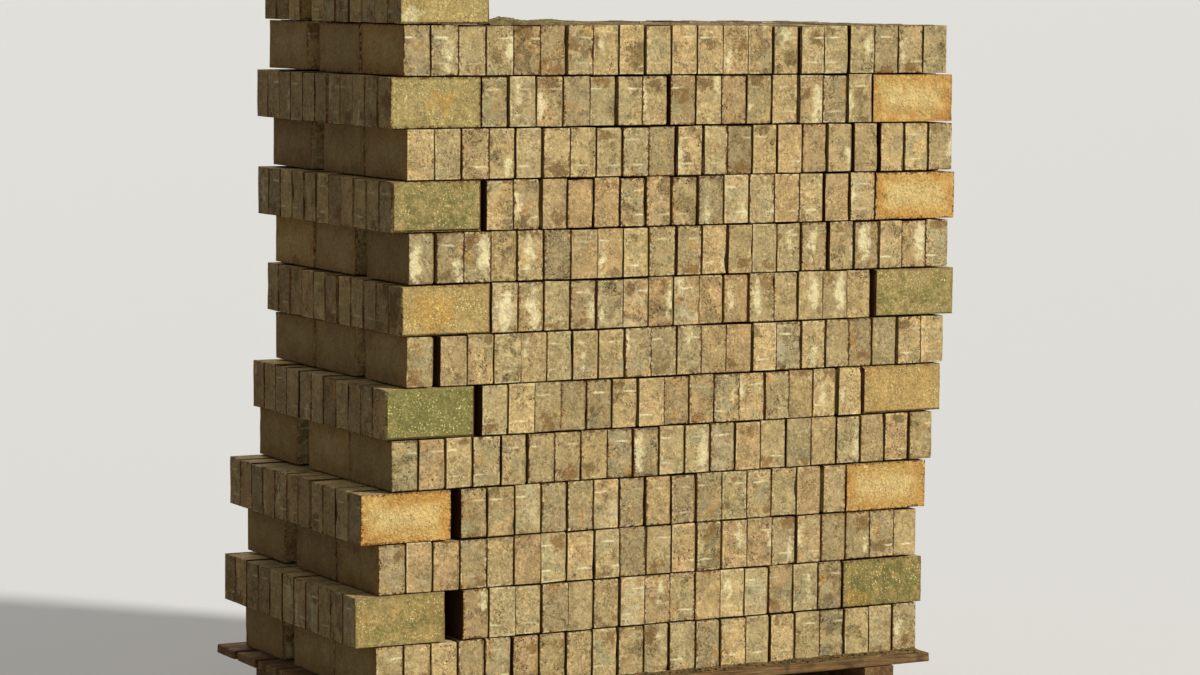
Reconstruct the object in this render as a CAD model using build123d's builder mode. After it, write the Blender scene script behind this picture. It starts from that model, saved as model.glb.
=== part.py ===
from build123d import *
import os

os.makedirs("parts", exist_ok=True)

# Pallet of concrete paving blocks, in mm. X runs along the front, Y into the depth, Z up.
# The origin is the middle of the pallet's footprint, on the floor.

# One paving block, laid on its long edge
block_length = 200.0
block_thick = 59.2
block_face = 100.0
spacer_rib = 2.4
block_tall = block_face + spacer_rib
arris_chamfer = 4.5

# What lies between one block and the next
seat_gap = 0.3
course_pitch = block_tall + seat_gap
across_count = 21
between_count = 15
rank_count = 3
face_wander = 1.6
row_joint = 1.0

# Pallet timber
deck_board_count = 7
deck_board_wide = 95.0
deck_board_thick = 20.0
bearer_count = 3
bearer_wide = 75.0
bearer_tall = 95.0
bearer_inset = 90.0
base_board_count = 3
base_board_wide = 95.0
base_board_thick = 20.0
front_overhang = 45.0
end_overhang = 6.0

# Courses count up from the deck. Each one's left end, in block thicknesses to the right
# of the top full course's left end: the stack was laid by hand and its foot stands out
left_shift = {1: -0.95, 2: -1.74, 3: -0.88, 4: -1.55, 5: -0.41, 6: -0.64, 7: 0.15,
              8: -0.07, 9: 0.22, 10: -0.44, 11: 0.13, 12: -0.49, 13: 0.0, 14: -0.15}

# Usual joint of each full course, and its open joints by number from the left,
# all in row joints
usual_joint = {1: 1.4, 2: 0.4, 3: 1.2, 4: 1.1, 5: 1.4, 6: 0.5, 7: 0.5, 8: 0.5,
               9: 1.1, 10: 1.5, 11: 1.4, 12: 1.6, 13: 1.2}
open_joint = {1: {5: 4}, 2: {1: 38}, 3: {8: 3}, 4: {1: 22}, 5: {4: 3, 15: 2.5, 17: 4},
              6: {1: 13}, 7: {1: 15}, 8: {16: 7}, 9: {10: 3, 16: 7}, 10: {1: 10, 14: 4},
              11: {10: 4, 17: 6, 18: 6}, 12: {8: 4}, 13: {15: 3, 17: 4}}
full_courses = len(usual_joint)
top_course = full_courses + 1

# Blocks whose chamfered face looks left, where the rest look right
turned = {1: (), 2: (7, 14), 3: (4, 9, 10, 11), 4: (15,), 5: (16,), 6: (7, 12, 15),
          7: (11, 12, 13, 14, 15, 16, 17, 20), 8: (), 9: (11, 12, 13, 17, 18, 19, 20),
          10: (1, 3, 11), 11: (11, 12), 12: (6, 9, 13, 15), 13: (7, 16)}

# End columns whose front block shows its plain bedding face: course, and -1 left or 1 right
bedding_out = ((4, -1), (4, 1), (10, 1), (12, 1))

# Gaps behind the first and the second rank of an odd course, in row joints
rank_gaps = {1: (6, 57), 3: (6, 55), 5: (5, 58), 7: (45, 8), 9: (54, 8),
             11: (4, 60), 13: (8, 58)}
stack_depth = rank_count * block_length + sum(rank_gaps[full_courses]) * row_joint
front_y = -stack_depth / 2

# A column across the end of an even course holds as many blocks as the depth takes.
# Half of what they leave is one open joint, and the rest is shared
end_column_count = int((stack_depth + row_joint) // (block_thick + row_joint))
column_spare = stack_depth - end_column_count * block_thick
column_gap = column_spare / 2
column_joint = column_gap / (end_column_count - 2)
column_gap_after = {2: 6, 4: 4, 6: 7, 8: 5, 10: 6, 12: 5, 14: 4}
missing_on_top = 8


def front_spans(course):
    # What each piece takes up of the front, from the left
    if course % 2 == 1:
        return [block_thick] * across_count
    return [block_length] + [block_thick] * between_count + [block_length]


def front_joints(course):
    opened = open_joint[course]
    count = len(front_spans(course))
    return [opened.get(number, usual_joint[course]) * row_joint
            for number in range(1, count)]


def left_end(course):
    return left_shift[course] * block_thick


def right_end(course):
    return left_end(course) + sum(front_spans(course)) + sum(front_joints(course))


# The deck reaches from the furthest left of the two lowest courses to the bottom one's right
pallet_left = min(left_end(1), left_end(2))
pallet_right = right_end(1) + end_overhang
pallet_length = pallet_right - pallet_left
pallet_depth = stack_depth + 2 * front_overhang
deck_floor = base_board_thick + bearer_tall + 2 * seat_gap
pallet_tall = deck_floor + deck_board_thick
zero_x = (pallet_left + pallet_right) / 2


def course_floor(course):
    return pallet_tall + seat_gap + (course - 1) * course_pitch


def wander(course, place):
    # The small unevenness of a hand laid face, back and forth
    return face_wander * (((course * 7 + place * 13) % 11) / 5.0 - 1.0)


def across_lefts(course):
    # Left end of every piece along the front, an even course's two long ones included
    lefts, x = [], left_end(course) - zero_x
    for span, joint in zip(front_spans(course), front_joints(course) + [0.0]):
        lefts.append(x)
        x += span + joint
    return lefts


def rank_fronts(course):
    # Front of every rank of blocks that run into the depth
    if course % 2 == 1:
        first, second = (gap * row_joint for gap in rank_gaps[course])
    else:
        first = second = (stack_depth - rank_count * block_length) / (rank_count - 1)
    return [front_y, front_y + block_length + first,
            front_y + 2 * block_length + first + second]


def column_fronts(course):
    # Front of every block of a column whose blocks run along the front
    fronts, y = [], front_y
    for place in range(1, end_column_count + 1):
        fronts.append(y)
        y += block_thick + (column_gap if place == column_gap_after[course] else column_joint)
    return fronts


# A single block: its chamfered face looks along +X, its length runs along Y
with BuildPart() as block:
    with BuildSketch():
        Rectangle(block_thick, block_length)
    extrude(amount=block_tall)
    chamfer(block.faces().sort_by(Axis.X)[-1].edges(), arris_chamfer)


def spot(x_left, y_front, floor, course, place, face_left):
    # Place of a block that runs into the depth
    y = y_front + block_length / 2 + wander(course, place)
    return Location((x_left + block_thick / 2, y, floor), (0, 0, 180 if face_left else 0))


def long_spot(x_left, y_front, floor, course, place, outward):
    # Place of a block that runs along the front, most with the chamfered face forward
    x = x_left + block_length / 2 + outward * abs(wander(course, place))
    turn = 90 if place == 0 and (course, outward) in bedding_out else -90
    return Location((x, y_front + block_thick / 2, floor), (0, 0, turn))


def odd_places(course, whole):
    # A rank's blocks stand side by side. Inner ones are left to the core unless whole
    floor, lefts, places = course_floor(course), across_lefts(course), []
    for rank, y in enumerate(rank_fronts(course)):
        for number, x in enumerate(lefts, start=1):
            inside = rank == 1 and 1 < number < across_count
            if whole or not inside:
                flip = number in turned[course] if rank == 0 else (number + rank) % 8 == 0
                places.append(spot(x, y, floor, course, number + 5 * rank, flip))
    return places


def even_places(course):
    # Long blocks close both ends, and short faces show between them
    floor, lefts, places = course_floor(course), across_lefts(course), []
    for x, outward in ((lefts[0], -1), (lefts[-1], 1)):
        for row, y in enumerate(column_fronts(course)):
            places.append(long_spot(x, y, floor, course, row, outward))
    for rank, y in enumerate(rank_fronts(course)):
        if rank != 1:
            for number, x in enumerate(lefts[1:-1], start=1):
                flip = number in turned[course] if rank == 0 else number % 6 == 0
                places.append(spot(x, y, floor, course, number + 5 * rank, flip))
    return places


# The thirteen full courses, each a set of separate blocks round a plain core
for course in range(1, full_courses + 1):
    name = f"course_{course:02d}"
    is_top = course == full_courses
    places = odd_places(course, is_top) if course % 2 == 1 else even_places(course)
    with BuildPart() as blocks:
        with Locations(*places):
            add(block.part)
    blocks.part.label = name
    export_step(blocks.part, f"parts/{name}.step")

    if not is_top:
        lefts, middle = across_lefts(course), rank_fronts(course)[1]
        with BuildPart() as core:
            with BuildSketch(Plane.XY.offset(course_floor(course))):
                with Locations(((lefts[1] + lefts[-2] + block_thick) / 2,
                                middle + block_length / 2)):
                    Rectangle(lefts[-2] + block_thick - lefts[1], block_length)
            extrude(amount=block_tall)
        core.part.label = f"{name}_core"
        export_step(core.part, f"parts/{name}_core.step")

# What is left of the fourteenth course: the column at its left end, one block missing
top_left = left_end(top_course) - zero_x
top_places = [
    long_spot(top_left, y, course_floor(top_course), top_course, place, -1)
    for place, y in enumerate(column_fronts(top_course), start=1)
    if place != missing_on_top
]
with BuildPart() as top_blocks:
    with Locations(*top_places):
        add(block.part)
top_blocks.part.label = "course_14_part"
export_step(top_blocks.part, "parts/course_14_part.step")


def spread(count, width, span):
    # Middles of so many boards, the outer two flush with the span's ends
    step = (span - width) / (count - 1)
    return [-(span - width) / 2 + step * number for number in range(count)]


# Deck boards run along the front, bearers cross under them, base boards close the foot
for number, y in enumerate(spread(deck_board_count, deck_board_wide, pallet_depth), start=1):
    with BuildPart() as deck_board:
        with BuildSketch(Plane.XY.offset(deck_floor)):
            with Locations((0, y)):
                Rectangle(pallet_length, deck_board_wide)
        extrude(amount=deck_board_thick)
    deck_board.part.label = f"deck_board_{number}"
    export_step(deck_board.part, f"parts/deck_board_{number}.step")

bearer_span = pallet_length - 2 * bearer_inset
for number, x in enumerate(spread(bearer_count, bearer_wide, bearer_span), start=1):
    with BuildPart() as bearer:
        with BuildSketch(Plane.XY.offset(base_board_thick + seat_gap)):
            with Locations((x, 0)):
                Rectangle(bearer_wide, pallet_depth)
        extrude(amount=bearer_tall)
    bearer.part.label = f"bearer_{number}"
    export_step(bearer.part, f"parts/bearer_{number}.step")

for number, y in enumerate(spread(base_board_count, base_board_wide, pallet_depth), start=1):
    with BuildPart() as base_board:
        with BuildSketch():
            with Locations((0, y)):
                Rectangle(pallet_length, base_board_wide)
        extrude(amount=base_board_thick)
    base_board.part.label = f"base_board_{number}"
    export_step(base_board.part, f"parts/base_board_{number}.step")
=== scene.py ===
import math
import random

import bmesh
import bpy
from mathutils import Matrix, Vector, noise


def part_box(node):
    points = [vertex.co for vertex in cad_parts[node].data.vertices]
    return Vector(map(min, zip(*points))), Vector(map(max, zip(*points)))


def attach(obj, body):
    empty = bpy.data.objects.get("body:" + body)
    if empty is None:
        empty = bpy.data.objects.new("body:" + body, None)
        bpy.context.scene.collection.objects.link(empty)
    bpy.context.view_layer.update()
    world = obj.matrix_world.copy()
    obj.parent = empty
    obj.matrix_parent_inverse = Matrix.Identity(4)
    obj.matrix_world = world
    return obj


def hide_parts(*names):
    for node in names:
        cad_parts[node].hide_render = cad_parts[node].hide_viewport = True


bl_info = {
    "name": "Pallet of paving blocks",
    "version": (1, 0, 0),
    "blender": (4, 5, 0),
    "location": "View3D > Sidebar > Blocks",
    "description": "Dresses a loaded pallet of weathered concrete paving blocks",
    "category": "Object",
}

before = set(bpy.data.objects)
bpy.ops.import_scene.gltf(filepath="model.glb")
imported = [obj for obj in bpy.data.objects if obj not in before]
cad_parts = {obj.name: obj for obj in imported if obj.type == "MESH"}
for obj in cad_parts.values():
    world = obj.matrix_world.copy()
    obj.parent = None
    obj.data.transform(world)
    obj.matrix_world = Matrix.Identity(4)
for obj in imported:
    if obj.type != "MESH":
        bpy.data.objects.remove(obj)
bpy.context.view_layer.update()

MM = 0.001
COURSES = [f"course_{number:02d}" for number in range(1, 14)] + ["course_14_part"]
CORES = [f"course_{number:02d}_core" for number in range(1, 13)]
DECK = [f"deck_board_{number}" for number in range(1, 8)]
BEARERS = [f"bearer_{number}" for number in range(1, 4)]
BASE = [f"base_board_{number}" for number in range(1, 4)]

# One block in millimetres: thickness, length and height, a little less than its place
BLOCK = Vector((59.2, 197.6, 101.0))
# The kinds of block take turns at these chamfers, in millimetres, because soil fills some
# until little of them shows
KINDS = 6
CHAMFERS = (4.5, 1.0, 3.0)
# How much thicker a block stands that has the smallest of them, close against the next
CLOSER = 0.5
# How far corners and arrises are worn, in millimetres, the share of them with no chip,
# and the least depth of a chip
WEAR = (0.1, 1.5)
UNCHIPPED = 0.93
CHIP_FROM = 1.6
# The two courses whose tops show
OPEN_TOPS = ("course_13", "course_14_part")
# Blocks that reach this near to a side of the stack, in metres, are its outer row
OUTER_ROW = 0.02
# A joint wider than this, in metres, has the sides of the block after it painted fully dark
# with soil colour: painted shade
OPEN_JOINT = 0.002
# Size of a mark that doesn't show
NO_MARK = -99.0

# The camera: its place in metres, its lens in millimetres, and in degrees its turn about the
# upright, how far it looks down, and its roll
CAMERA_PLACE = (-3.7323, -7.0310, 1.5714)
CAMERA_LENS = 113.0
CAMERA_TURN = -28.346
CAMERA_DOWN = 5.510
CAMERA_ROLL = 0.457
# The floor's edge lies too far out to show
FLOOR_RADIUS = 3000.0

# How the large faces at the two ends of the front have weathered, left then right:
# algae from 0 to 1, orange from 0 to 1, darkness from 0 to 1
FRONT_LARGE_FACES = {
    "course_02": ((0.50, 0.35, 0.30), (0.72, 0.50, 0.40)),
    "course_04": ((0.00, 1.00, 0.10), (0.00, 0.95, 0.12)),
    "course_06": ((1.00, 0.00, 0.35), (0.00, 0.62, 0.15)),
    "course_08": ((0.00, 0.34, 0.10), (0.50, 0.10, 0.22)),
    "course_10": ((0.62, 0.05, 0.10), (0.00, 0.95, 0.00)),
    "course_12": ((0.26, 0.07, 0.24), (0.00, 0.90, 0.00)),
    "course_14_part": ((0.00, 0.18, 0.20), (0.00, 0.00, 0.00)),
}

# Marks on single front faces, by course and number from the left: place across and up
# from the middle of the face, and size, in millimetres. First brown or rusty stains
STAINS = {
    "course_13": {5: (-8, 36, 13), 7: (22, 10, 20), 8: (-22, 12, 17), 9: (12, -12, 22),
                  12: (-2, 14, 10), 13: (12, 4, 14), 15: (8, -16, 13), 16: (0, 24, 16),
                  19: (0, -42, 12), 20: (2, -40, 12)},
    "course_12": {1: (9, 2, 19), 6: (0, 42, 13), 9: (2, 8, 14), 14: (10, 14, 12),
                  16: (-4, 10, 13)},
    "course_11": {11: (-4, -20, 13), 13: (0, -38, 15), 14: (-4, 40, 10)},
    "course_10": {7: (-8, -32, 9), 17: (66, 4, 5)},
    "course_09": {5: (0, 42, 17), 17: (4, 36, 10)},
    "course_08": {1: (-24, 0, 34)},
    "course_02": {17: (-58, -34, 19)},
}
# And crusts of lime
LIME = {
    "course_13": {2: (8, -10, 15), 4: (22, 4, 12), 15: (-4, 28, 9), 18: (16, 2, 9)},
    "course_12": {4: (-20, 0, 16), 8: (-28, -4, 14), 14: (-16, -8, 19), 16: (25, -4, 13)},
    "course_11": {11: (24, -10, 12), 17: (22, -20, 11), 21: (24, 0, 15)},
    "course_10": {3: (-20, 0, 12), 16: (-26, 0, 12)},
    "course_09": {1: (-16, -12, 22), 2: (18, -30, 13), 3: (17, 8, 24), 5: (-2, 10, 17),
                  16: (-4, 16, 12), 18: (4, 10, 22), 20: (-16, 10, 20)},
    "course_08": {2: (0, -6, 22), 3: (6, -6, 24), 5: (20, -12, 14), 6: (-19, -14, 13),
                  8: (20, 0, 14), 12: (-14, 0, 17), 14: (8, 0, 18), 15: (12, 6, 19)},
    "course_05": {10: (-18, 0, 22), 12: (15, -4, 19), 18: (20, -10, 15)},
    "course_14_part": {1: (-72, -34, 17)},
}


def linear(hex_colour):
    # sRGB hex to the linear colour that a shader takes
    parts = [int(hex_colour[i:i + 2], 16) / 255 for i in (1, 3, 5)]
    return tuple(c / 12.92 if c <= 0.04045 else ((c + 0.055) / 1.055) ** 2.4
                 for c in parts) + (1.0,)


def add(tree, kind, inputs=None, out=0, **settings):
    # One node with its settings, and its inputs as values or links
    made = tree.nodes.new("ShaderNode" + kind)
    for name, value in settings.items():
        setattr(made, name, value)
    for key, value in (inputs or {}).items():
        if isinstance(value, bpy.types.NodeSocket):
            tree.links.new(value, made.inputs[key])
        else:
            made.inputs[key].default_value = value
    return made.outputs[out] if len(made.outputs) else made


def reckon(tree, operation, *values):
    # Arithmetic on numbers, or on what other nodes give out
    return add(tree, "Math", dict(enumerate(values)), operation=operation)


def ramp(tree, value, low, high, least=0.0, most=1.0, shape="LINEAR"):
    # least where the value is low or under it, most where it is high or over it
    return add(tree, "MapRange", {"Value": value, "From Min": low, "From Max": high,
                                  "To Min": least, "To Max": most}, interpolation_type=shape)


def cloudy(tree, where, scale, detail, rough, swirl=0.0):
    # Fractal noise in soft clouds, scale of them to the metre
    return add(tree, "TexNoise", {"Vector": where, "Scale": scale, "Detail": detail,
                                  "Roughness": rough, "Distortion": swirl})


def patches(tree, where, size_mm, low, high, detail=4.0, rough=0.6, swirl=0.4):
    # Blotches about size_mm across: 0 where the pattern is under low, 1 where it is over high
    pattern = cloudy(tree, where, 1000.0 / (2.2 * size_mm), detail, rough, swirl)
    return ramp(tree, pattern, low, high, shape="SMOOTHSTEP")


def specks(tree, where, scale, rim, core):
    # Round grains or holes: 0 further out than rim, 1 inside core, in shares of their cell
    far = add(tree, "TexVoronoi", {"Vector": where, "Scale": scale}, out="Distance")
    return ramp(tree, far, rim, core)


def tint(tree, colour, stain, amount, *masks):
    # Lays a stain over a colour where all the masks are. Either may be sRGB hex
    colour, stain = (linear(c) if isinstance(c, str) else c for c in (colour, stain))
    for mask in masks:
        amount = reckon(tree, "MULTIPLY", mask, amount)
    return add(tree, "Mix", {0: amount, 6: colour, 7: stain}, out=2, data_type="RGBA")


def stained(tree, colour, *stains):
    # Lays stains over a colour one after the other, each with its amount and its masks
    for stain in stains:
        colour = tint(tree, colour, *stain)
    return colour


def shaded(tree, colour, pattern, low, high):
    # Makes a colour low times as bright where the pattern is 0, and high times where it is 1
    factor = ramp(tree, pattern, 0.0, 1.0, low, high)
    return add(tree, "VectorMath", {0: colour, "Scale": factor}, operation="SCALE")


def within(tree, distance, full, none):
    # 1 where a distance in metres is under full, 0 where it is over none
    size = reckon(tree, "ABSOLUTE", distance)
    return ramp(tree, size, none, full, shape="SMOOTHSTEP")


def some_blocks(tree, number, least):
    # Which blocks have a mark: 0 where their number is under least, fading in above it
    return ramp(tree, number, least, min(1.0, least + 0.25))


def smear(tree, face, mark, wide, tall, soft=0.010):
    # A stain or crust round a mark: its place and size on the face, drawn out by wide and
    # tall, with its edge fading over soft metres
    off = add(tree, "VectorMath", {0: face.spot, 1: mark}, operation="SUBTRACT")
    off = add(tree, "VectorMath", {0: off, 1: (1.0 / wide, 1.0 / tall, 0.0)},
              operation="MULTIPLY")
    far = add(tree, "VectorMath", {0: off}, out="Value", operation="LENGTH")
    # The edge frays in tongues about 7 mm across. The noise's own middle comes off again
    fraying, middle = 0.09, 0.046
    fray = cloudy(tree, face.where, 62.0, 5.0, 0.66)
    size = add(tree, "SeparateXYZ", {0: mark}, out="Z")
    size = reckon(tree, "MULTIPLY_ADD", fray, fraying, size)
    reach = reckon(tree, "SUBTRACT", size, far)
    return ramp(tree, reach, middle - soft / 2, middle + soft / 2, shape="SMOOTHSTEP")


def new_material(name):
    made = bpy.data.materials.new(name)
    made.use_nodes = True
    made.node_tree.nodes.clear()
    return made, made.node_tree


def surface(tree, colour, rough, height, depth_mm):
    bump = add(tree, "Bump", {"Height": height, "Strength": 0.8, "Distance": depth_mm * MM})
    shader = add(tree, "BsdfPrincipled", {"Base Color": colour, "Roughness": rough,
                                          "Normal": bump, "Specular IOR Level": 0.2})
    add(tree, "OutputMaterial", {"Surface": shader})


class BlockFace:
    # What the material of a block reads: its own piece of the pattern, its own numbers,
    # and the place on the face in metres from the middle
    def __init__(self, tree):
        place = add(tree, "TexCoord", out="Object")
        seed = add(tree, "Attribute", attribute_name="block_seed", out="Vector")
        self.where = add(tree, "VectorMath", {0: place, 1: seed}, operation="ADD")
        for name in ("block_luck", "block_more", "face_weather", "face_half"):
            vector = add(tree, "Attribute", attribute_name=name, out="Vector")
            split = add(tree, "SeparateXYZ", {0: vector})
            setattr(self, name, split.node.outputs)
        self.joint = add(tree, "Attribute", attribute_name="joint_dirt_and_shade", out="Fac")
        self.stain = add(tree, "Attribute", attribute_name="face_stain", out="Vector")
        self.lime = add(tree, "Attribute", attribute_name="face_lime", out="Vector")
        self.spot = add(tree, "UVMap", uv_map="face_mm")
        spot = add(tree, "SeparateXYZ", {0: self.spot}).node
        self.across, self.up = spot.outputs["X"], spot.outputs["Y"]
        gaps = []
        for along, half in ((self.across, self.face_half["X"]), (self.up, self.face_half["Y"])):
            size = reckon(tree, "ABSOLUTE", along)
            gaps.append(reckon(tree, "SUBTRACT", half, size))
        self.inward = reckon(tree, "MINIMUM", gaps[0], gaps[1])


def grit_and_pits(tree, where):
    # Grit of 2 to 3 mm, drawn as coarse as it has to be to show, and the short worm-like
    # pits that a dry mix leaves, about 4 mm apart, in clusters
    grit = patches(tree, where, 2.7, 0.25, 0.75, detail=2.0, rough=0.7, swirl=0.0)
    cluster = patches(tree, where, 15.0, 0.42, 0.58, detail=2.0)
    worm = cloudy(tree, where, 105.0, 2.0, 0.5, 1.1)
    off = reckon(tree, "SUBTRACT", worm, 0.5)
    line = within(tree, off, 0.014, 0.031)
    line = reckon(tree, "MULTIPLY", line, cluster)
    # Round holes too, 3 to 4 mm across and about 8 mm apart
    hole = specks(tree, where, 120.0, 0.27, 0.17)
    hole = reckon(tree, "MULTIPLY", hole, patches(tree, where, 11.0, 0.52, 0.60, detail=2.0))
    return grit, reckon(tree, "MAXIMUM", line, hole)


def joint_and_edge_soil_and_shade(tree, face, colour, finish):
    # Soil in the joints, and painted shade where the joint amount carries it. The arrises are
    # painted dark in notches 3 to 4 mm wide that reach up to about 3 mm in from the edge:
    # partly dirt in crumbled arrises, partly painted shade along the joints
    colour = tint(tree, colour, finish.soil[:], 0.95, face.joint)
    notch = cloudy(tree, face.where, 135.0, 3.0, 0.6)
    inward = reckon(tree, "MULTIPLY_ADD", notch, -0.0290, face.inward)
    edge = ramp(tree, inward, -0.0122, -0.0148)
    dark = ramp(tree, face.block_more["X"], 0.12, 0.75)
    return tint(tree, colour, "#5c2f0a", 0.86, edge, dark)


def pressed_concrete_side(finish):
    # Dry pressed concrete, the narrow ends and long sides: sandy, pitted and dull, with
    # lime bloom, rust and damp, and pale marks where the spacer ribs have worn
    material, tree = new_material("pressed_concrete_side")
    face = BlockFace(tree)
    luck, more, where = face.block_luck, face.block_more, face.where
    is_end = face.face_half["Z"]

    ochre = patches(tree, where, 17.0, 0.52, 0.68, detail=6.0, rough=0.68, swirl=0.2)
    colour = stained(
        tree, finish.side[:],
        # Whole blocks differ in tone
        ("#b29f70", 1.0, luck["X"]),
        ("#c49d6a", 0.6, some_blocks(tree, luck["Y"], 0.6)),
        ("#a29068", 0.7, some_blocks(tree, more["X"], 0.65)),
        # Broad brown, cool and pinkish patches
        ("#9b8657", 0.50, patches(tree, where, 26.0, 0.36, 0.66)),
        ("#a19a72", 0.5, patches(tree, where, 22.0, 0.52, 0.66, detail=2.0),
         some_blocks(tree, luck["Z"], 0.3)),
        ("#bd9b70", 0.24, patches(tree, where, 19.0, 0.55, 0.68, detail=2.0)),
        # Ochre, brown and dark damp on some blocks
        ("#b98d4a", 0.42, ochre, some_blocks(tree, more["X"], 0.3)),
        ("#c4924a", 0.45, ochre, some_blocks(tree, more["X"], 0.68)),
        ("#6c552d", 0.60, patches(tree, where, 18.0, 0.56, 0.66, detail=5.0),
         some_blocks(tree, luck["Z"], 0.5)),
        ("#665933", 0.55, patches(tree, where, 15.0, 0.48, 0.60),
         some_blocks(tree, more["Z"], 0.76)),
    )

    # The skin is smooth in places and torn open in others, most of all along its edges
    blotch = patches(tree, where, 13.0, 0.30, 0.70, detail=3.0)
    middle = patches(tree, where, 4.0, 0.28, 0.72, detail=4.0, rough=0.68)
    grit, pits = grit_and_pits(tree, where)
    colour = shaded(tree, colour, blotch, 0.86, 1.15)
    torn = patches(tree, where, 14.0, 0.42, 0.62, detail=2.0)
    margin = within(tree, face.inward, 0.003, 0.013)
    torn = reckon(tree, "MULTIPLY_ADD", margin, 0.45, torn)
    torn = reckon(tree, "MINIMUM", torn, 1.0)
    smooth = shaded(tree, shaded(tree, colour, middle, 0.92, 1.08), grit, 0.83, 1.17)
    rough = shaded(tree, shaded(tree, colour, middle, 0.70, 1.25), grit, 0.68, 1.34)
    colour = tint(tree, smooth, rough, 1.0, torn)
    colour = shaded(tree, colour, more["Y"], 0.88, 1.10)
    many = ramp(tree, more["Z"], 0.25, 0.75, least=0.40)
    open_skin = ramp(tree, torn, 0.0, 1.0, least=0.35)

    brown = tint(tree, "#6a5631", "#865f2e", 1.0, luck["X"])
    brown = shaded(tree, brown, middle, 0.80, 1.20)
    pale = shaded(tree, finish.lime[:3], middle, 0.90, 1.05)
    thin = patches(tree, where, 4.5, 0.28, 0.52, detail=3.0)
    thin = ramp(tree, thin, 0.0, 1.0, least=0.55)
    colour = stained(
        tree, colour,
        ("#46290c", 0.95, pits, open_skin, many),
        # Damp and rust have stained some ends, more at the top and the foot than between
        (brown, 0.72, smear(tree, face, face.stain, 1.3, 1.0), is_end),
        # Lime stands on others as a soft pale crust, drawn out upright
        (pale, 0.90, is_end, thin, smear(tree, face, face.lime, 0.62, 1.7, soft=0.022)),
        ("#cfc59c", 0.50, is_end, patches(tree, where, 10.0, 0.47, 0.60, detail=6.0, rough=0.7),
         reckon(tree, "GREATER_THAN", luck["Z"], 0.94)),
    )

    # Worn spacer ribs leave short pale smears that still stand up a little, one above and
    # one below the middle of an end, bent by up to 3 mm. Their pale colour is partly the rubbed
    # ribs' own and partly a painted highlight where the ribs catch the light
    relief = reckon(tree, "MULTIPLY_ADD", grit, 0.25, middle)
    for level, number, place in ((0.0255, luck["Z"], more["Z"]),
                                 (-0.0265, more["Y"], luck["Y"])):
        bend = patches(tree, where, 14.0, 0.2, 0.8, detail=2.0)
        off = reckon(tree, "MULTIPLY_ADD", bend, 0.003, face.up)
        off = reckon(tree, "SUBTRACT", off, level + 0.0015)
        line = within(tree, off, 0.0003, 0.0034)
        centre = ramp(tree, place, 0.0, 1.0, -0.024, 0.024)
        off = reckon(tree, "SUBTRACT", face.across, centre)
        worn = ramp(tree, number, 0.40, 0.92)
        for mask in (within(tree, off, 0.005, 0.022), worn):
            line = reckon(tree, "MULTIPLY", line, mask)
        colour = tint(tree, colour, "#ecdeac", 0.95, line, is_end,
                      patches(tree, where, 6.0, 0.30, 0.52))
        relief = reckon(tree, "MULTIPLY_ADD", line, 0.3, relief)
    # Painted highlight: a thin pale line along the arrises where they catch the light, with the
    # pale of rubbed arrises where no dirt has caught
    arris = within(tree, face.inward, 0.0022, 0.0050)
    colour = tint(tree, colour, "#e0cf9c", 0.62, arris, is_end,
                  patches(tree, where, 7.0, 0.46, 0.58), some_blocks(tree, more["Y"], 0.15))
    colour = joint_and_edge_soil_and_shade(tree, face, colour, finish)

    height = reckon(tree, "SUBTRACT", relief, pits)
    surface(tree, colour, 0.93, height, 1.1)
    return material


def pressed_concrete_wearing_face(finish):
    # The wearing face: a denser skin with small pale chippings, green where it stays damp
    material, tree = new_material("pressed_concrete_wearing_face")
    face = BlockFace(tree)
    weather, where = face.face_weather, face.where

    # Rust and algae spread in clouds, the further the more a face has of them
    broad = patches(tree, where, 34.0, 0.35, 0.65)
    level = reckon(tree, "MULTIPLY_ADD", weather["Y"], 0.3, -0.15)
    spread = cloudy(tree, where, 17.0, 4.0, 0.55, 0.6)
    rusty = reckon(tree, "ADD", spread, level)
    rusty = ramp(tree, rusty, 0.60, 0.76)
    damp = cloudy(tree, where, 34.0, 7.0, 0.72, 0.4)
    damp = reckon(tree, "MULTIPLY_ADD", weather["X"], 0.36, damp)
    algae = ramp(tree, damp, 0.64, 0.82)
    rust = shaded(tree, linear("#cb9947")[:3], broad, 0.85, 1.08)
    colour = stained(
        tree, finish.wearing[:],
        ("#af9b62", 1.0, face.block_luck["X"]),
        ("#9a864e", 0.45, broad),
        ("#cba05c", 0.85, weather["Y"]),
        ("#c58f42", 0.7, rusty),
        (finish.algae[:], 0.85, algae),
        ("#686431", 0.50, weather["Z"]),
        (rust, 0.52, smear(tree, face, face.stain, 1.4, 1.0)),
        ("#dccf9c", 0.60, smear(tree, face, face.lime, 1.0, 1.1)),
    )
    upright = add(tree, "Mapping", {"Vector": where, "Scale": (1.0, 1.0, 0.16)})
    colour = shaded(tree, colour, patches(tree, upright, 9.0, 0.34, 0.66), 0.90, 1.08)
    colour = shaded(tree, colour, face.block_more["Y"], 0.86, 1.06)

    # Pale chippings 1 to 3 mm across, in drifts
    chips = specks(tree, where, 185.0, 0.36, 0.20)
    drift = patches(tree, where, 20.0, 0.38, 0.64, detail=6.0, rough=0.7)
    colour = tint(tree, colour, "#e6d690", 0.92, chips, drift)

    middle = patches(tree, where, 6.0, 0.28, 0.72, detail=5.0, rough=0.68)
    grit, pits = grit_and_pits(tree, where)
    colour = shaded(tree, colour, middle, 0.90, 1.09)
    colour = shaded(tree, colour, grit, 0.75, 1.25)
    # The chamfer's line shows round the face
    border = within(tree, face.inward, 0.0045, 0.0065)
    colour = stained(tree, colour, ("#4a4225", 0.45, pits), ("#837445", 0.45, border))
    colour = joint_and_edge_soil_and_shade(tree, face, colour, finish)

    height = reckon(tree, "MULTIPLY_ADD", grit, 0.3, middle)
    height = reckon(tree, "MULTIPLY_ADD", chips, 0.4, height)
    surface(tree, colour, 0.90, height, 1.1)
    return material


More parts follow.
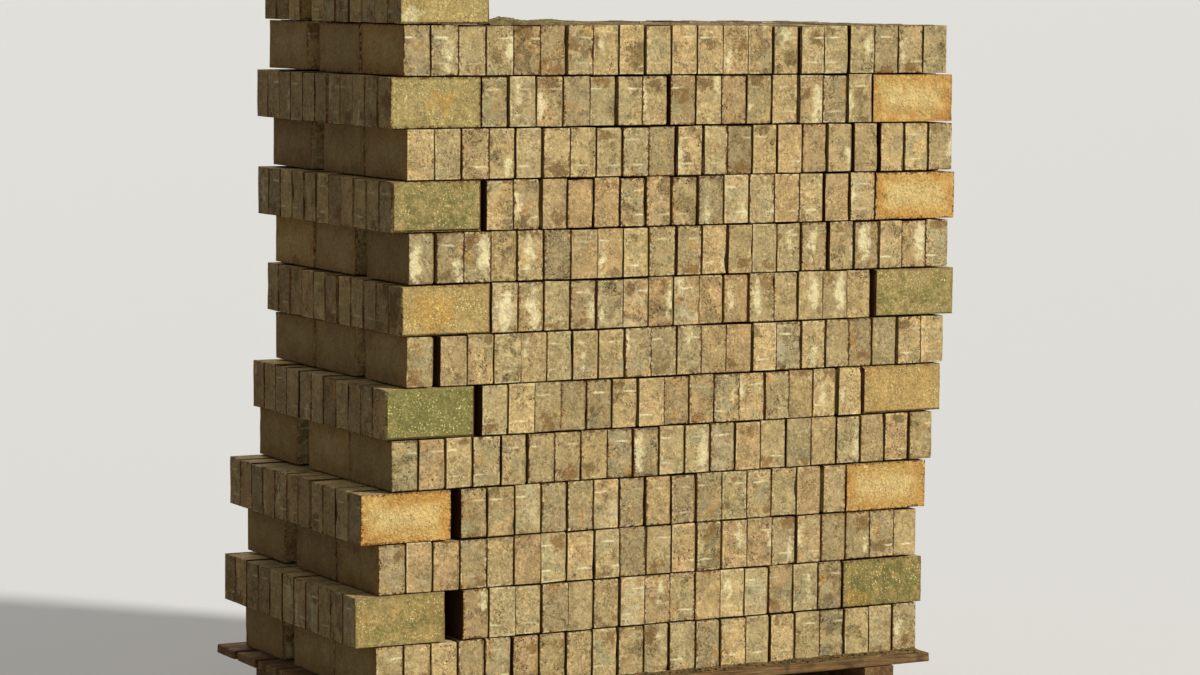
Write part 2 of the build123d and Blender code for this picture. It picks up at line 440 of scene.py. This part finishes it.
def pressed_concrete_bedding_face(finish):
    # The bedding face lay on sand: open, coarse and rusty orange
    material, tree = new_material("pressed_concrete_bedding_face")
    face = BlockFace(tree)
    weather, where = face.face_weather, face.where

    dull = tint(tree, "#ae986b", "#958157", 1.0, patches(tree, where, 28.0, 0.3, 0.7))
    sandy = tint(tree, finish.bedding[:], "#ca9a50", 1.0,
                 patches(tree, where, 38.0, 0.38, 0.64, swirl=0.8))
    margin = within(tree, face.inward, 0.004, 0.026)
    sandy = stained(
        tree, "#dbbd79",
        (sandy, 1.0, within(tree, face.inward, 0.012, 0.046)),
        ("#bb8138", 0.70, margin, patches(tree, where, 5.5, 0.44, 0.60, detail=4.0)),
        ("#bd8842", 0.45, patches(tree, where, 14.0, 0.56, 0.70, detail=5.0)),
        ("#7d6238", 0.75, smear(tree, face, face.stain, 1.6, 0.9)),
    )
    colour = stained(tree, dull, (sandy, 1.0, weather["Y"]), ("#6e5d3a", 0.60, weather["Z"]))

    middle = patches(tree, where, 6.0, 0.28, 0.72, detail=5.0, rough=0.7, swirl=0.0)
    grit, pits = grit_and_pits(tree, where)
    colour = shaded(tree, colour, middle, 0.93, 1.07)
    colour = shaded(tree, colour, grit, 0.83, 1.18)
    # Single grains stand out, thickest along the edges
    grains = specks(tree, where, 190.0, 0.36, 0.20)
    thick = reckon(tree, "MAXIMUM", margin, patches(tree, where, 16.0, 0.44, 0.60))
    colour = stained(tree, colour, ("#a06828", 0.62, grains, thick), ("#8e6532", 0.25, pits))
    colour = joint_and_edge_soil_and_shade(tree, face, colour, finish)

    height = reckon(tree, "MULTIPLY_ADD", grit, 0.6, middle)
    height = reckon(tree, "SUBTRACT", height, pits)
    surface(tree, colour, 0.95, height, 1.5)
    return material


def packed_concrete_core():
    # The hidden middle blocks: dull concrete with a dark joint at every second block
    material, tree = new_material("packed_concrete_core")
    place = add(tree, "TexCoord", out="Object")
    split = add(tree, "SeparateXYZ", {0: place}).node
    step = reckon(tree, "PINGPONG", split.outputs["X"], 0.0604)
    joint = within(tree, step, 0.0012, 0.0025)
    colour = stained(tree, "#a08f66",
                     ("#857650", 1.0, patches(tree, place, 25.0, 0.35, 0.65)),
                     ("#2a2013", 0.9, joint))
    grit, pits = grit_and_pits(tree, place)
    colour = shaded(tree, colour, grit, 0.85, 1.15)
    height = reckon(tree, "SUBTRACT", grit, joint)
    surface(tree, colour, 0.95, height, 1.5)
    return material


def sawn_softwood(name, grain, finish):
    # Rough sawn softwood left outdoors: brown and grey streaks along the grain, dark checks,
    # and soil rubbed into it. grain is how much the pattern is stretched along each axis
    material, tree = new_material(name)
    place = add(tree, "TexCoord", out="Object")
    along = add(tree, "Mapping", {"Vector": place, "Scale": grain})
    fibre = patches(tree, along, 2.2, 0.30, 0.70, detail=5.0, rough=0.7)
    band = patches(tree, along, 9.0, 0.35, 0.65, detail=3.0, swirl=0.8)
    colour = stained(tree, finish.timber[:], ("#66492a", 1.0, band),
                     ("#82765a", 0.45, patches(tree, place, 60.0, 0.50, 0.70)),
                     ("#42301a", 0.70, patches(tree, place, 26.0, 0.50, 0.66)))
    colour = shaded(tree, colour, fibre, 0.70, 1.25)
    check = patches(tree, along, 3.5, 0.66, 0.72, detail=2.0)
    colour = tint(tree, colour, "#2c2012", 0.80, check)
    height = reckon(tree, "SUBTRACT", fibre, check)
    surface(tree, colour, 0.88, height, 1.2)
    return material


def rusted_steel():
    # Cut nails that have rusted through their skin: dull, dark and scaly
    material, tree = new_material("rusted_steel_nail")
    place = add(tree, "TexCoord", out="Object")
    scale = patches(tree, place, 2.0, 0.35, 0.65)
    colour = tint(tree, "#6b3f22", "#3b2417", 1.0, scale)
    surface(tree, colour, 0.85, scale, 0.4)
    return material


def damp_soil(name, base, growth):
    # Damp soil with bits of dead stalk, and cushions of moss as growth goes up to 1
    material, tree = new_material(name)
    place = add(tree, "TexCoord", out="Object")
    stalk = add(tree, "Mapping", {"Vector": place, "Scale": (0.12, 1.0, 1.0)})
    colour = stained(tree, base,
                     ("#5b4a2b", 1.0, patches(tree, place, 12.0, 0.35, 0.62)),
                     ("#75703a", growth, patches(tree, place, 9.0, 0.48, 0.60)),
                     ("#a8966a", 0.70, patches(tree, stalk, 3.0, 0.60, 0.68)),
                     ("#2b2113", 0.70, patches(tree, stalk, 4.0, 0.62, 0.70)))
    fine = patches(tree, place, 3.0, 0.3, 0.7)
    colour = shaded(tree, colour, fine, 0.75, 1.2)
    surface(tree, colour, 0.97, fine, 2.0)
    return material


def outer_edges(body, test):
    return [edge for edge in body.edges if test(*(vert.co for vert in edge.verts))]


def bevel(body, edges, width):
    bmesh.ops.bevel(body, geom=edges, offset=width, segments=1, affect="EDGES",
                    profile=0.5, material=-1)


def cut_across(body, axis, level):
    # Cuts the faces that cross one level of an axis, to give them corners there
    spot, way = Vector((0, 0, 0)), Vector((0, 0, 0))
    spot[axis], way[axis] = level, 1.0
    bmesh.ops.bisect_plane(body, geom=body.verts[:] + body.edges[:] + body.faces[:],
                           plane_co=spot, plane_no=way)


def finished_object(name, body, *materials):
    # Makes a finished shape an object at the origin
    mesh = bpy.data.meshes.new(name)
    body.to_mesh(mesh)
    body.free()
    for material in materials:
        mesh.materials.append(material)
    made = bpy.data.objects.new(name, mesh)
    bpy.context.scene.collection.objects.link(made)
    return made


def block_template(number, ribs_on_top):
    # One block in millimetres: X is its thickness with the wearing face at +X,
    # Y its length and Z its height
    body = bmesh.new()
    uv = body.loops.layers.uv.new("face_mm")
    half = body.faces.layers.float_vector.new("face_half")
    side, end, top = BLOCK / 2
    chance = random.Random(100 + number)

    bmesh.ops.create_cube(body, size=1.0)
    bmesh.ops.scale(body, vec=BLOCK, verts=body.verts)
    bevel(body, outer_edges(body, lambda a, b: a.x < 0 and b.x < 0), 0.6)
    worn = outer_edges(body, lambda a, b: a.x > side - 0.5 and b.x > side - 0.5)
    bevel(body, worn, CHAMFERS[number % len(CHAMFERS)])
    across = outer_edges(body, lambda a, b: abs(a.x - b.x) > side
                         and abs(abs(a.y) - end) < 0.1 and abs(abs(a.z) - top) < 0.1)
    bevel(body, across, 1.1)
    # Cuts at three heights, a little off in each kind, let the arrises wear unevenly
    for level in (-30.0, -2.0, 28.0):
        cut_across(body, 2, level + chance.uniform(-10, 10))

    # Spacer ribs, where the block's top shows: twice these sizes, and narrower on top
    for along in (-62.0, 62.0) if ribs_on_top else ():
        bar = bmesh.ops.create_cube(body, size=2.0)["verts"]
        bmesh.ops.scale(body, vec=(20.0, 3.2, 0.65), verts=bar)
        outer = [vert for vert in bar if vert.co.z > 0]
        bmesh.ops.scale(body, vec=(0.85, 0.4, 1.0), verts=outer)
        bmesh.ops.translate(body, vec=(0, along, top), verts=bar)

    # Each face takes the material of the side that it leans to, and its place on that side
    lean = 0.6
    body.normal_update()
    for face in body.faces:
        normal = face.normal
        face.material_index = 1 if normal.x > lean else 2 if normal.x < -lean else 0
        across, up = 1, 0
        if abs(normal.x) > lean:
            across, up = 1, 2
        elif abs(normal.y) > lean:
            across, up = 0, 2
        is_end = 1.0 if (across, up) == (0, 2) else 0.0
        face[half] = Vector((BLOCK[across] / 2 * MM, BLOCK[up] / 2 * MM, is_end))
        for loop in face.loops:
            loop[uv].uv = (loop.vert.co[across] * MM, loop.vert.co[up] * MM)
    mesh = bpy.data.meshes.new(f"block_template_{number}")
    body.to_mesh(mesh)
    body.free()
    return mesh


def lying_blocks(node):
    # Where the frame's blocks lie: lowest and highest corner, thin axis and turn. Each block
    # is one island of the node's mesh
    solid = bmesh.new()
    solid.from_mesh(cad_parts[node].data)
    bmesh.ops.remove_doubles(solid, verts=solid.verts, dist=1e-5)
    left, found = set(solid.verts), []
    while left:
        group, reach = [], [left.pop()]
        while reach:
            vert = reach.pop()
            group.append(vert.co.copy())
            for edge in vert.link_edges:
                other = edge.other_vert(vert)
                if other in left:
                    left.discard(other)
                    reach.append(other)
        low = Vector([min(co[a] for co in group) for a in range(3)])
        high = Vector([max(co[a] for co in group) for a in range(3)])
        thin = 0 if high.x - low.x < high.y - low.y else 1
        # The chamfered side is the one whose corners stop short of the block's top
        on_side = max(co.z for co in group if co[thin] > high[thin] - 1e-4)
        looks_up_axis = on_side < high.z - 1e-3
        turn = {(0, True): 0.0, (0, False): math.pi,
                (1, True): math.pi / 2, (1, False): -math.pi / 2}[(thin, looks_up_axis)]
        found.append((low, high, thin, turn))
    solid.free()
    return sorted(found, key=lambda item: (round(item[0].y, 3), round(item[0].x, 3)))


def knock_corners(verts, dice, deepest):
    # Wears the corners and arrises of one block inwards, with a chip here and there. They
    # are what lies within 6 mm of two sides or more
    for vert in verts:
        near = [axis for axis in range(3) if abs(vert.co[axis]) > BLOCK[axis] / 2 - 6.0]
        if len(near) < 2:
            continue
        depth = dice.uniform(*WEAR)
        if dice.random() > UNCHIPPED:
            depth = dice.uniform(CHIP_FROM, deepest)
        for axis in near:
            vert.co[axis] -= math.copysign(depth * dice.uniform(0.2, 1.0), vert.co[axis])


def set_down(verts, dice, place, close):
    # Puts one block in its place, a little low, thin and tilted, or close against the next
    lift = dice.uniform(-0.3, 0.1)
    tilt = Matrix.Rotation(dice.uniform(-0.007, 0.007), 4, "Y")
    lower = 1.0 - 0.028 * dice.random() ** 2
    thinner = 1.0 - 0.038 * dice.random() ** 2.5
    if close:
        thinner = 1.0 + CLOSER / BLOCK.x
    for vert in verts:
        vert.co.x = (vert.co.x + BLOCK.x / 2) * thinner - BLOCK.x / 2
        vert.co.z = (vert.co.z + BLOCK.z / 2) * lower - BLOCK.z / 2 + lift
        vert.co = place @ (tilt @ vert.co)


def chance_mark(dice, chance, across, up, size):
    # A mark at a random place on a face, or one of no size
    spot = (dice.uniform(-across, across), dice.choice((-1, 1)) * dice.uniform(*up))
    size = dice.uniform(*size)
    return spot + (size if dice.random() < chance else NO_MARK,)


def block_numbers(dice, node, number, large, on_left):
    # What the materials read from one block: number is its place in the front row from 1, or
    # None behind it, and large says that it shows one of the front's two large faces there
    weather = Vector((0.5 * dice.random() ** 2, 0.15 + 0.5 * dice.random(),
                      0.3 * dice.random()))
    if large:
        weather = Vector(FRONT_LARGE_FACES[node][0 if on_left else 1])
    stain = chance_mark(dice, 0.0 if large else 0.32, 20, (28, 44), (8, 17))
    lime = chance_mark(dice, 0.0 if large else 0.24, 26, (0, 34), (5, 12))
    return {
        "block_seed": Vector([dice.uniform(-20, 20) for _ in range(3)]),
        "block_luck": Vector([dice.random() for _ in range(3)]),
        "block_more": Vector([dice.random() for _ in range(3)]),
        "face_weather": weather,
        "face_stain": Vector(STAINS.get(node, {}).get(number, stain)) * MM,
        "face_lime": Vector(LIME.get(node, {}).get(number, lime)) * MM,
    }


def build_course(node, templates, materials, settings):
    # One course, each block laid where the frame has it, with its numbers on its faces
    course = bmesh.new()
    layers = course.faces.layers
    vectors = {name: layers.float_vector.new(name) for name in
               ("block_seed", "block_luck", "block_more", "face_weather", "face_stain",
                "face_lime")}
    joint = layers.float.new("joint_dirt_and_shade")
    dice = random.Random(f"{node} {settings.seed}")
    places = lying_blocks(node)
    lows, highs = [place[0] for place in places], [place[1] for place in places]
    left_edge, front = (min(low[axis] for low in lows) for axis in (0, 1))
    right_edge, back = (max(high[axis] for high in highs) for axis in (0, 1))
    middle = sum(low.x + high.x for low, high in zip(lows, highs)) / (2 * len(places))
    row = [(low.x, high.x) for low, high in zip(lows, highs) if low.y < front + OUTER_ROW]
    starts, ends = (sorted(side) for side in zip(*row))
    for low, high, thin, turn in places:
        centre = (low + high) / 2
        on_left, at_left = centre.x < middle, low.x < left_edge + OUTER_ROW
        at_end = thin == 0 and (at_left or high.x > right_edge - OUTER_ROW)
        # Its number in the front row, from 1
        number = starts.index(low.x) + 1 if low.y < front + OUTER_ROW else None
        large = bool(number) and thin == 1

        first_face, first_vert = len(course.faces), len(course.verts)
        kind = dice.choice(range(len(templates)))
        course.from_mesh(templates[kind])
        course.faces.ensure_lookup_table()
        course.verts.ensure_lookup_table()
        faces, verts = course.faces[first_face:], course.verts[first_vert:]
        knock_corners(verts, dice, settings.arris_chip / MM)
        place = Matrix.Translation(centre) @ Matrix.Rotation(turn, 4, "Z")
        place = place @ Matrix.Scale(MM, 4)
        unchamfered = CHAMFERS[kind % len(CHAMFERS)] == min(CHAMFERS)
        set_down(verts, dice, place, unchamfered and thin == 0 and not at_end)

        numbers = block_numbers(dice, node, number, large, on_left)
        side = (place.to_3x3() @ Vector((1, 0, 0))).normalized()
        # How dark its sides are painted with soil colour: real soil, and painted shade too. An
        # arris that looks left, away from the key light, is painted darker than one that looks
        # right, and what shows through an open joint is painted fully dark
        arris_soil_and_shade = dice.random()
        arris_soil_and_shade = 0.45 * arris_soil_and_shade ** 1.5 if side.x > 0 else 0.60 + 0.40 * arris_soil_and_shade
        on_top = dice.uniform(0.45, 0.7)
        between, left_end_shade = dice.uniform(0.20, 0.75), dice.uniform(0.38, 0.58)
        joint_before = low.x - ends[number - 2] if number else OPEN_JOINT
        # Painted shade: a block after an open joint, and every block behind the front row, has
        # its sides painted fully dark
        if node != "course_14_part" and (joint_before > OPEN_JOINT or not number):
            between = 1.0
        for face in faces:
            face.normal_update()
            for name, value in numbers.items():
                face[vectors[name]] = value
            face[joint] = 0.0
            if node in OPEN_TOPS and face.normal.z > 0.7:
                face[joint] = on_top
            elif large and abs(face.normal.x) > 0.5:
                # A long block's end closes the row's joint. Its end that looks into the stack
                # is painted fully dark: painted shade
                looks_in = face.normal.x * (1 if on_left else -1) > 0
                face[joint] = 1.0 if looks_in else 0.0
            elif face.material_index and not large:
                # An arris takes less soil than the face between two blocks
                inner = between if abs(face.normal.dot(side)) > 0.9 else arris_soil_and_shade
                outer = side.x * (1 if face.material_index == 1 else -1)
                looks_out = at_end and outer * (-1 if on_left else 1) > 0
                at_back = thin == 1 and high.y > back - OUTER_ROW and face.normal.y > 0.5
                face[joint] = 0.0 if looks_out or at_back else inner
            if at_left and face.normal.x < -0.7:
                # Painted shade: the left end is darkened with soil colour, standing in for the
                # deep shade it lies in
                face[joint] = left_end_shade
    piece = finished_object(f"{node}_blocks", course, *materials)
    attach(piece, "root")
    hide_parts(node)


def worn_board(node, material, long_axis, settings, nails=(), nail_material=None):
    # A rough sawn board in its CAD place: worn arrises, faces that have dried a little
    # hollow here and there, and the heads of its nails
    low, high = (Vector(corner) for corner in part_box(node))
    size, centre = high - low, (low + high) / 2
    cross = 1 - long_axis
    dice = random.Random(f"{node} {settings.seed}")
    body = bmesh.new()
    bmesh.ops.create_cube(body, size=1.0)
    bmesh.ops.scale(body, vec=size, verts=body.verts)
    arris = settings.board_wear * 0.6
    bevel(body, body.edges[:], arris)
    # A cut about every 50 mm
    steps = 26 if size[long_axis] > 1.0 else 16
    for number in range(1, steps):
        cut_across(body, long_axis, size[long_axis] * (number / steps - 0.5))
    # Cuts along the board too, so that its faces hollow unevenly
    for offset in (-0.0012, 0.0012):
        cut_across(body, cross, offset + size[cross] * 0.22 * dice.choice((-1, 1)))
    body.normal_update()
    for vert in body.verts:
        depth = 0.5 + 0.5 * noise.noise((vert.co + centre) * 9.0)
        for axis in (cross, 2):
            if abs(vert.co[axis]) > size[axis] / 2 - arris * 1.5:
                vert.co[axis] -= math.copysign(depth * settings.board_wear * 0.5,
                                               vert.co[axis])
        if abs(vert.co[long_axis]) > size[long_axis] / 2 - arris * 1.5:
            vert.co[long_axis] -= math.copysign(dice.uniform(0, 0.0015), vert.co[long_axis])
    bmesh.ops.translate(body, vec=centre, verts=body.verts)
    bmesh.ops.recalc_face_normals(body, faces=body.faces)
    wood_faces = len(body.faces)
    for x, y in nails:
        head = bmesh.ops.create_cone(body, cap_ends=True, segments=10, radius1=0.0042,
                                     radius2=0.0034, depth=0.0012)["verts"]
        bmesh.ops.translate(body, vec=(x, y, high.z - settings.board_wear * 0.5), verts=head)
    body.faces.ensure_lookup_table()
    for face in body.faces[wood_faces:]:
        face.material_index = 1
    materials = (material, nail_material) if nails else (material,)
    piece = finished_object(f"{node}_timber", body, *materials)
    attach(piece, "root")
    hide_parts(node)


def close_below(body, floor):
    # Gives a sheet sides and a flat underside
    under = bmesh.ops.extrude_face_region(body, geom=body.faces[:])["geom"]
    for item in under:
        if isinstance(item, bmesh.types.BMVert):
            item.co.z = floor
    bmesh.ops.recalc_face_normals(body, faces=body.faces)


def loose_piece(name, body, material):
    # Dirt, which lies on the frame's pieces and replaces none
    piece = finished_object(name, body, material)
    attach(piece, "root")


def deck_edge():
    # Lowest and highest corner of the front deck board, and where the stack stands on it
    low, high = (Vector(corner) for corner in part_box("deck_board_1"))
    return low, high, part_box("course_01")[0][1]


def strew_grit(settings, dice, material):
    # Grains 3 to 10 mm across on the deck, most of them within 14 mm of the stack
    low, high, stack_front = deck_edge()
    grit = bmesh.new()
    for number in range(settings.crumbs):
        radius = dice.uniform(0.0014, 0.0048)
        spot = Vector((dice.uniform(low.x + 0.01, high.x - 0.01),
                       stack_front - abs(dice.gauss(0.0, 0.014)) - radius, high.z))
        if spot.y < low.y + 0.008:
            continue
        crumb = bmesh.ops.create_icosphere(grit, subdivisions=1, radius=radius)["verts"]
        for vert in crumb:
            vert.co *= dice.uniform(0.75, 1.1)
        bmesh.ops.scale(grit, vec=(1.0, dice.uniform(0.7, 1.1), 0.75), verts=crumb)
        bmesh.ops.translate(grit, vec=spot + Vector((0, 0, radius * 0.6)), verts=crumb)
    loose_piece("deck_grit", grit, material)


def bank_soil(settings, material):
    # Soil banked up against the bottom course, with a frayed front
    low, high, stack_front = deck_edge()
    margin, clearance = 0.012, 0.0006
    soil = bmesh.new()
    bmesh.ops.create_grid(soil, x_segments=280, y_segments=5, size=0.5)
    for vert in soil.verts:
        u, v = vert.co.x + 0.5, vert.co.y + 0.5
        x = low.x + margin + u * (high.x - low.x - 2 * margin)
        fray = 0.007 * noise.noise(Vector((x * 22, v * 2, 3.0)))
        front = low.y + 0.011 + fray
        depth = 0.6 + 0.6 * noise.noise(Vector((x * 30, v * 3, 7.0)))
        depth += 0.5 * noise.noise(Vector((x * 120, v * 9, 2.0)))
        deep = settings.soil_depth * (0.2 + 0.8 * v ** 1.6) * max(0.15, depth)
        vert.co = Vector((x, front + v * (stack_front - clearance - front), high.z + deep))
    close_below(soil, high.z - 0.001)
    loose_piece("deck_soil", soil, material)


def grow_moss(settings, material):
    # A cushion along the front of the top course, highest by the course on top of it
    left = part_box("course_14_part")[1][0] + 0.004
    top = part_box("course_13")[1][2] - 0.0012
    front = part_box("course_13")[0][1]
    long, deep = 0.40, 0.055
    moss = bmesh.new()
    bmesh.ops.create_grid(moss, x_segments=70, y_segments=10, size=0.5)
    for vert in moss.verts:
        u, v = vert.co.x + 0.5, vert.co.y + 0.5
        profile = math.sin(math.pi * v) * (1.0 - u) ** 1.3
        lumps = 0.8 + 0.5 * noise.noise(Vector((u * 9, v * 2, 1.3)))
        lumps += 0.35 * noise.noise(Vector((u * 70, v * 6, 4.1)))
        bend = 0.004 * noise.noise(Vector((u * 14, 2.0, 0.0)))
        vert.co = Vector((left + u * long,
                          front + 0.045 + (v - 0.5) * deep * (1.1 - 0.5 * u) + bend,
                          top + 0.0004
                          + settings.moss_height * profile * max(0.12, lumps)))
    close_below(moss, top - 0.0006)
    loose_piece("top_moss", moss, material)


def seen_directly(tree):
    # 1 where the camera or a gloss looks at a surface, 0 where it only gives light
    rays = add(tree, "LightPath").node.outputs
    return reckon(tree, "MAXIMUM", rays["Is Camera Ray"], rays["Is Glossy Ray"])


def length_choice(name, description, default, least, most):
    return bpy.props.FloatProperty(name=name, description=description, default=default,
                                   min=least, max=most, unit="LENGTH")


def strength_choice(name, description, default):
    return bpy.props.FloatProperty(name=name, description=description, default=default,
                                   min=0.0)


def colour_choice(name, description, hex_colour):
    return bpy.props.FloatVectorProperty(name=name, description=description, size=4,
                                         subtype="COLOR", min=0.0, max=1.0,
                                         default=linear(hex_colour))


class BlockSettings(bpy.types.PropertyGroup):
    seed: bpy.props.IntProperty(name="Seed", description="Picks how the blocks vary",
                                default=7, min=0)
    arris_chip: length_choice("Arris chip", "Deepest chip out of a block's arris",
                              0.0045, 0.0, 0.008)
    board_wear: length_choice("Board wear", "How far a board's arrises have worn back",
                              0.003, 0.001, 0.006)


class FinishSettings(bpy.types.PropertyGroup):
    side: colour_choice("Sides", "Lighter tone of the blocks' ends and sides", "#cdae75")
    wearing: colour_choice("Wearing face", "Lighter tone of the denser face", "#baa166")
    bedding: colour_choice("Bedding face", "Sandy tone of the open face", "#d4b169")
    lime: colour_choice("Lime", "Crusts that stand on some faces", "#ecdca6")
    algae: colour_choice("Algae", "Growth on the faces that stay damp", "#7b763d")
    # This colour is also painted as shade, in open joints and on the left end
    soil: colour_choice("Soil", "Dirt left in the joints and on top", "#3a1a06")
    timber: colour_choice("Timber", "Lighter tone of the pallet's boards", "#83643a")


class DirtSettings(bpy.types.PropertyGroup):
    crumbs: bpy.props.IntProperty(name="Crumbs", default=420, min=0, max=1000,
                                  description="Grains of grit along the deck's front edge")
    soil_depth: length_choice("Soil depth", "Depth of the soil against the bottom course",
                              0.006, 0.002, 0.012)
    moss_height: length_choice("Moss height", "Height of the soil and moss on the top course",
                               0.019, 0.004, 0.03)


class StageSettings(bpy.types.PropertyGroup):
    key: strength_choice("Key", "Strength of the key light", 4.0)
    back: strength_choice("Back", "Strength of the light from behind", 1.2)
    sky: strength_choice("Sky", "Strength of the even light", 0.26)
    background: colour_choice("Background", "Colour of the floor and of what is behind it",
                              "#c9c7c2")


class BLOCKS_OT_courses(bpy.types.Operator):
    """Lay the weathered blocks of every course"""
    bl_idname = "blocks.courses"
    bl_label = "Courses of blocks"

    def execute(self, context):
        finish = context.scene.finish_settings
        materials = [pressed_concrete_side(finish), pressed_concrete_wearing_face(finish),
                     pressed_concrete_bedding_face(finish)]
        plain = [block_template(number, False) for number in range(KINDS)]
        crowned = [block_template(number, True) for number in range(KINDS, 2 * KINDS)]
        for node in COURSES:
            build_course(node, crowned if node in OPEN_TOPS else plain, materials,
                         context.scene.block_settings)
        for template in plain + crowned:
            bpy.data.meshes.remove(template)
        core = packed_concrete_core()
        for node in CORES:
            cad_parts[node].data.materials.clear()
            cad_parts[node].data.materials.append(core)
        return {"FINISHED"}


class BLOCKS_OT_pallet(bpy.types.Operator):
    """Build the pallet's deck boards, bearers and base boards"""
    bl_idname = "blocks.pallet"
    bl_label = "Pallet"

    def execute(self, context):
        settings, finish = context.scene.block_settings, context.scene.finish_settings
        lengthways = sawn_softwood("sawn_softwood_board", (0.06, 1.0, 1.0), finish)
        crossways = sawn_softwood("sawn_softwood_bearer", (1.0, 0.06, 1.0), finish)
        steel = rusted_steel()
        middles = []
        for node in BEARERS:
            low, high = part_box(node)
            middles.append((low[0] + high[0]) / 2)
            worn_board(node, crossways, 1, settings)
        for node in DECK:
            # Two nails into each bearer, near the board's edges and out of line
            low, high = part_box(node)
            rows = (-1, low[1] + 0.022), (1, high[1] - 0.022)
            nails = [(x + 0.015 * way, y) for x in middles for way, y in rows]
            worn_board(node, lengthways, 0, settings, nails, steel)
        for node in BASE:
            worn_board(node, lengthways, 0, settings)
        return {"FINISHED"}


class BLOCKS_OT_dirt(bpy.types.Operator):
    """Strew grit on the deck's edge, and soil and moss on the top course"""
    bl_idname = "blocks.dirt"
    bl_label = "Grit, soil and moss"

    def execute(self, context):
        settings = context.scene.dirt_settings
        dice = random.Random(context.scene.block_settings.seed + 50)
        soil_and_grit = damp_soil("soil_and_grit", "#7d5f38", 0.25)
        soil_and_moss = damp_soil("soil_and_moss", "#7a6a43", 0.75)
        strew_grit(settings, dice, soil_and_grit)
        bank_soil(settings, soil_and_grit)
        grow_moss(settings, soil_and_moss)
        return {"FINISHED"}


class BLOCKS_OT_stage(bpy.types.Operator):
    """Set the floor, the lights and the camera"""
    bl_idname = "blocks.stage"
    bl_label = "Stage"

    def execute(self, context):
        settings = context.scene.stage_settings
        scene = context.scene
        scene.view_settings.view_transform = "Standard"
        material, tree = new_material("pale_floor")
        colour = tint(tree, "#8f8d87", settings.background[:], 1.0, seen_directly(tree))
        shader = add(tree, "BsdfPrincipled", {"Base Color": colour, "Roughness": 0.9})
        add(tree, "OutputMaterial", {"Surface": shader})
        ground = bmesh.new()
        bmesh.ops.create_circle(ground, cap_ends=True, segments=64, radius=FLOOR_RADIUS)
        floor = finished_object("floor", ground, material)

        world = bpy.data.worlds.new("soft_studio")
        scene.world = world
        world.use_nodes = True
        tree = world.node_tree
        tree.nodes.clear()
        seen = seen_directly(tree)
        even = add(tree, "Background", {"Color": linear("#ffffff"), "Strength": settings.sky})
        pale = add(tree, "Background", {"Color": settings.background[:], "Strength": 1.0})
        mixed = add(tree, "MixShader", {0: seen, 1: even, 2: pale})
        add(tree, "OutputWorld", {"Surface": mixed})

        # Each lamp's strength, and in degrees its width, how far it tips and its turn
        for name, power, wide, tip, turn in (("key", settings.key, 6.0, 58.0, 40.0),
                                             ("back", settings.back, 30.0, 50.0, 165.0)):
            light = bpy.data.lights.new(name, "SUN")
            light.energy = power
            light.angle = math.radians(wide)
            lamp = bpy.data.objects.new(name, light)
            lamp.rotation_euler = (math.radians(tip), 0.0, math.radians(turn))
            scene.collection.objects.link(lamp)

        camera = bpy.data.cameras.new("camera")
        camera.sensor_width = 36.0
        camera.lens = CAMERA_LENS
        camera.clip_end = 3 * FLOOR_RADIUS
        eye = bpy.data.objects.new("camera", camera)
        turn = Matrix.Rotation(math.radians(CAMERA_TURN), 4, "Z")
        turn = turn @ Matrix.Rotation(math.radians(90.0 - CAMERA_DOWN), 4, "X")
        turn = turn @ Matrix.Rotation(math.radians(CAMERA_ROLL), 4, "Z")
        eye.matrix_world = Matrix.Translation(CAMERA_PLACE) @ turn
        scene.collection.objects.link(eye)
        scene.camera = eye
        return {"FINISHED"}


class BLOCKS_PT_panel(bpy.types.Panel):
    bl_idname = "BLOCKS_PT_panel"
    bl_label = "Pallet of paving blocks"
    bl_space_type = "VIEW_3D"
    bl_region_type = "UI"
    bl_category = "Blocks"

    def draw(self, context):
        layout = self.layout
        for settings in SETTINGS:
            group = getattr(context.scene, settings)
            for name in group.__annotations__:
                layout.prop(group, name)
        for kind in OPERATORS:
            layout.operator(kind.bl_idname)


OPERATORS = (BLOCKS_OT_courses, BLOCKS_OT_pallet, BLOCKS_OT_dirt, BLOCKS_OT_stage)
SETTINGS = {"block_settings": BlockSettings, "finish_settings": FinishSettings,
            "dirt_settings": DirtSettings, "stage_settings": StageSettings}
CLASSES = tuple(SETTINGS.values()) + OPERATORS + (BLOCKS_PT_panel,)


def register():
    for kind in CLASSES:
        bpy.utils.register_class(kind)
    for name, group in SETTINGS.items():
        setattr(bpy.types.Scene, name, bpy.props.PointerProperty(type=group))


def unregister():
    for name in SETTINGS:
        delattr(bpy.types.Scene, name)
    for kind in reversed(CLASSES):
        bpy.utils.unregister_class(kind)


def main():
    register()
    bpy.ops.blocks.courses()
    bpy.ops.blocks.pallet()
    bpy.ops.blocks.dirt()
    bpy.ops.blocks.stage()


if __name__ == "__main__":
    main()
